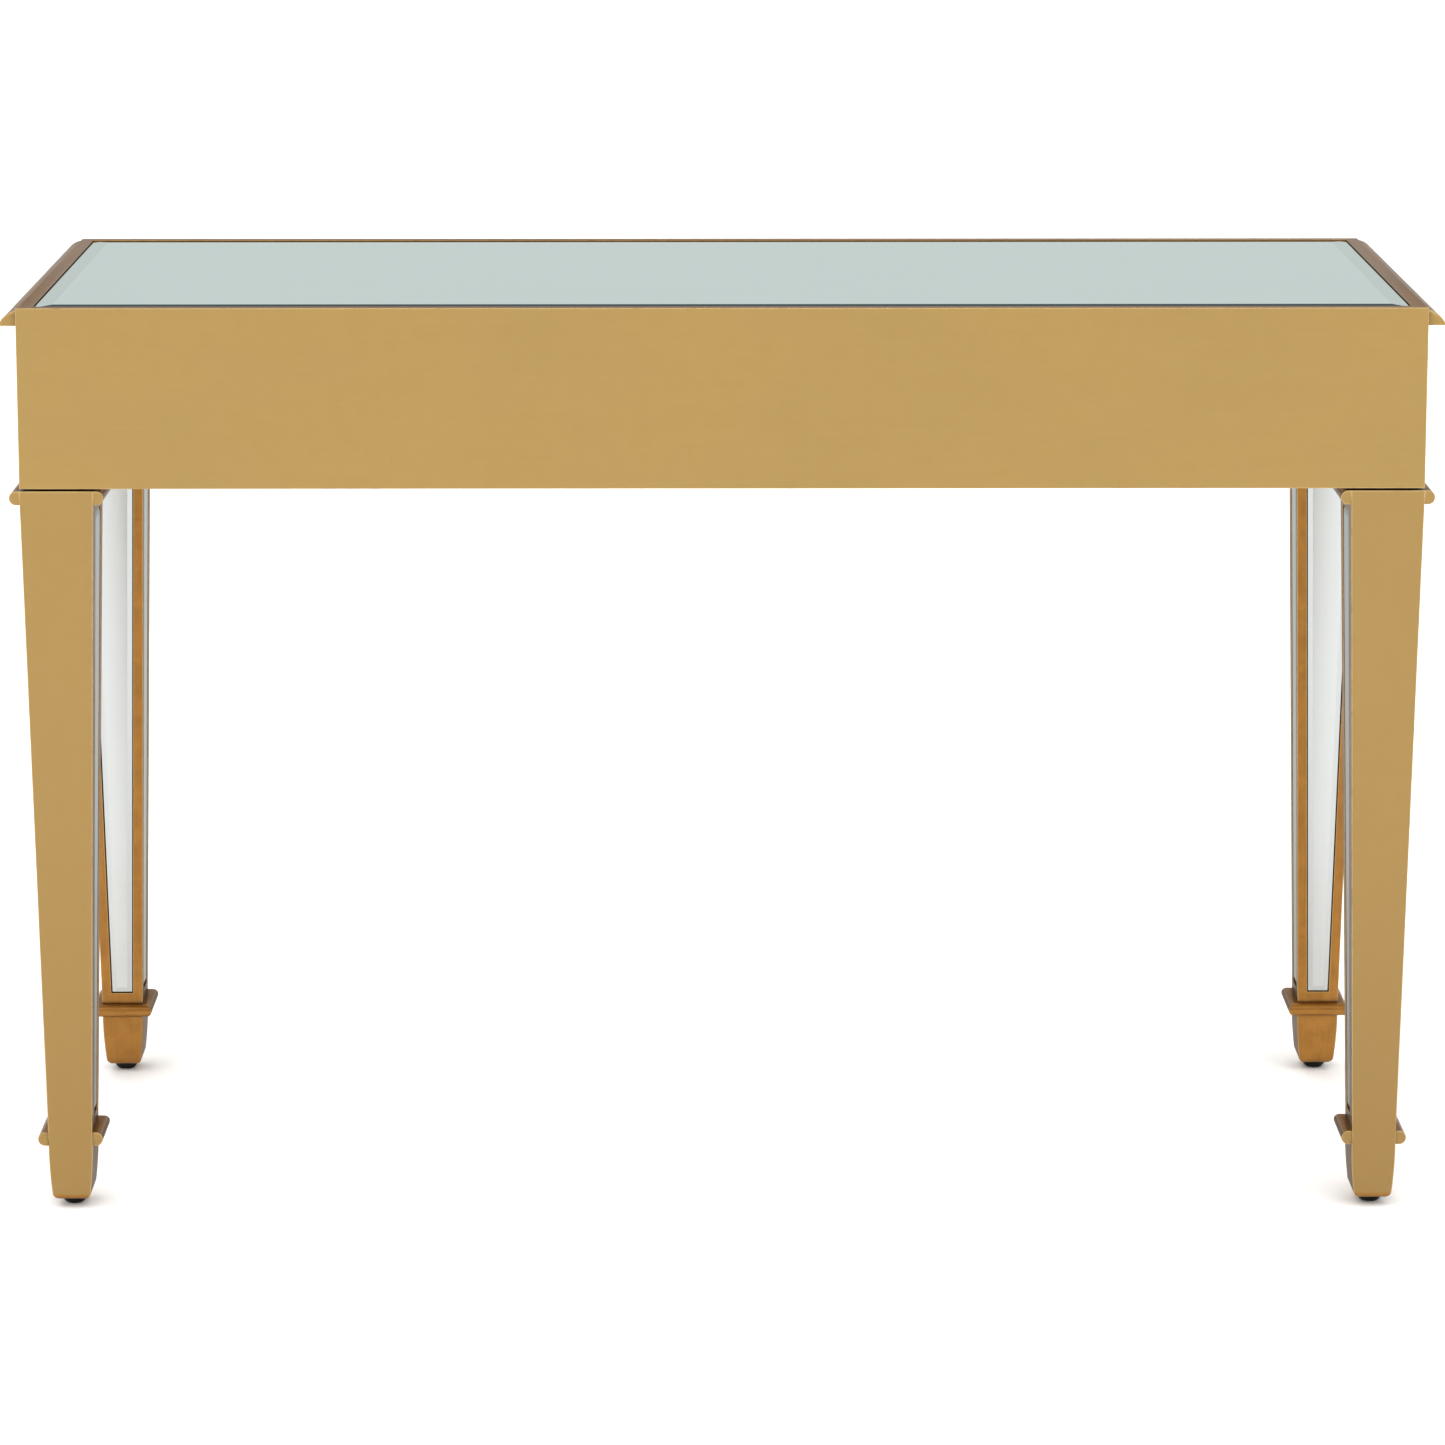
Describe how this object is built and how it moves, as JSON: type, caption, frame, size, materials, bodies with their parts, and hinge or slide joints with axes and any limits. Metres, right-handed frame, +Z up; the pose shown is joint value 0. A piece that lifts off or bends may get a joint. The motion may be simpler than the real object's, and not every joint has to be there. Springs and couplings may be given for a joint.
{
  "type": "vanity table",
  "caption": "Gold-painted vanity table with a bevelled mirror top, tapered legs with mirror inlays, and drawers in the front that slide on ball-bearing runners.",
  "frame": {"origin": "bottom centre of the box round the table with its knobs, on the floor under the glides", "axes": "+Z up, -Y out of the drawer fronts, +Y out of the flat back, +X to the right of someone facing the drawers"},
  "size_m": [1.219, 0.5214, 0.787],
  "materials": {
    "gold_paint": "hardwood and board with a brushed gold leaf-paint finish, satin",
    "top_mirror_glass": "bevelled silvered mirror, polished",
    "mirror_glass": "bevelled silvered mirror, polished",
    "knob_crystal": "clear cut crystal, polished",
    "brass": "polished brass",
    "bare_wood": "plain timber, unpainted",
    "zinc_steel": "zinc-plated steel",
    "black_washer": "black fibre, matt",
    "black_plastic": "black plastic, satin"
  },
  "bodies": {
    "table": {"top_mirror": "top_mirror_glass", "top_board": "bare_wood", "top_moulding_front": "gold_paint", "top_moulding_left": "gold_paint", "top_moulding_right": "gold_paint", "back_panel": "gold_paint", "side_panel_left": "gold_paint", "side_panel_right": "gold_paint", "side_mirror_left": "mirror_glass", "side_mirror_right": "mirror_glass", "front_rail_top": "gold_paint", "front_rail_bottom": "gold_paint", "centre_partition": "gold_paint", "corner_blocks": "bare_wood", "leg_shaft_front_left": "gold_paint", "leg_shaft_front_right": "gold_paint", "leg_shaft_rear_left": "gold_paint", "leg_shaft_rear_right": "gold_paint", "leg_mirrors_front_left": "mirror_glass", "leg_mirrors_front_right": "mirror_glass", "leg_mirrors_rear_left": "mirror_glass", "leg_mirrors_rear_right": "mirror_glass", "leg_collar_front_left": "gold_paint", "leg_collar_front_right": "gold_paint", "leg_collar_rear_left": "gold_paint", "leg_collar_rear_right": "gold_paint", "leg_foot_front_left": "gold_paint", "leg_foot_front_right": "gold_paint", "leg_foot_rear_left": "gold_paint", "leg_foot_rear_right": "gold_paint", "leg_back_board_left": "gold_paint", "leg_back_board_right": "gold_paint", "leg_bolts": "zinc_steel", "leg_bolt_inserts": "brass", "leg_washers": "black_washer", "floor_glides": "black_plastic", "slide_rails": "zinc_steel", "slide_rail_screws": "zinc_steel"},
    "drawer_left": {"drawer_front_left": "gold_paint", "drawer_mirror_left": "mirror_glass", "drawer_side_outer_left": "bare_wood", "drawer_side_inner_left": "bare_wood", "drawer_back_left": "bare_wood", "drawer_bottom_left": "bare_wood", "drawer_runners_left": "zinc_steel", "drawer_screws_left": "zinc_steel", "knob_crystal_left": "knob_crystal", "knob_base_left": "brass"},
    "drawer_right": {"drawer_front_right": "gold_paint", "drawer_mirror_right": "mirror_glass", "drawer_side_outer_right": "bare_wood", "drawer_side_inner_right": "bare_wood", "drawer_back_right": "bare_wood", "drawer_bottom_right": "bare_wood", "drawer_runners_right": "zinc_steel", "drawer_screws_right": "zinc_steel", "knob_crystal_right": "knob_crystal", "knob_base_right": "brass"},
    "ball_cages_left": {"ball_cages_left": "zinc_steel"},
    "ball_cages_right": {"ball_cages_right": "zinc_steel"}
  },
  "joints": [
    {"name": "drawer_slide_left", "type": "slide", "parent": "table", "child": "drawer_left", "axis": [0, -1, 0], "range_m": [0, 0.3]},
    {"name": "ball_cage_slide_left", "type": "slide", "parent": "table", "child": "ball_cages_left", "axis": [0, -1, 0], "range_m": [0, 0.15]},
    {"name": "drawer_slide_right", "type": "slide", "parent": "table", "child": "drawer_right", "axis": [0, -1, 0], "range_m": [0, 0.3]},
    {"name": "ball_cage_slide_right", "type": "slide", "parent": "table", "child": "ball_cages_right", "axis": [0, -1, 0], "range_m": [0, 0.15]}
  ],
  "couplings": [
    {"joint": "ball_cage_slide_left", "follows": "drawer_slide_left", "ratio": 0.5},
    {"joint": "ball_cage_slide_right", "follows": "drawer_slide_right", "ratio": 0.5}
  ]
}
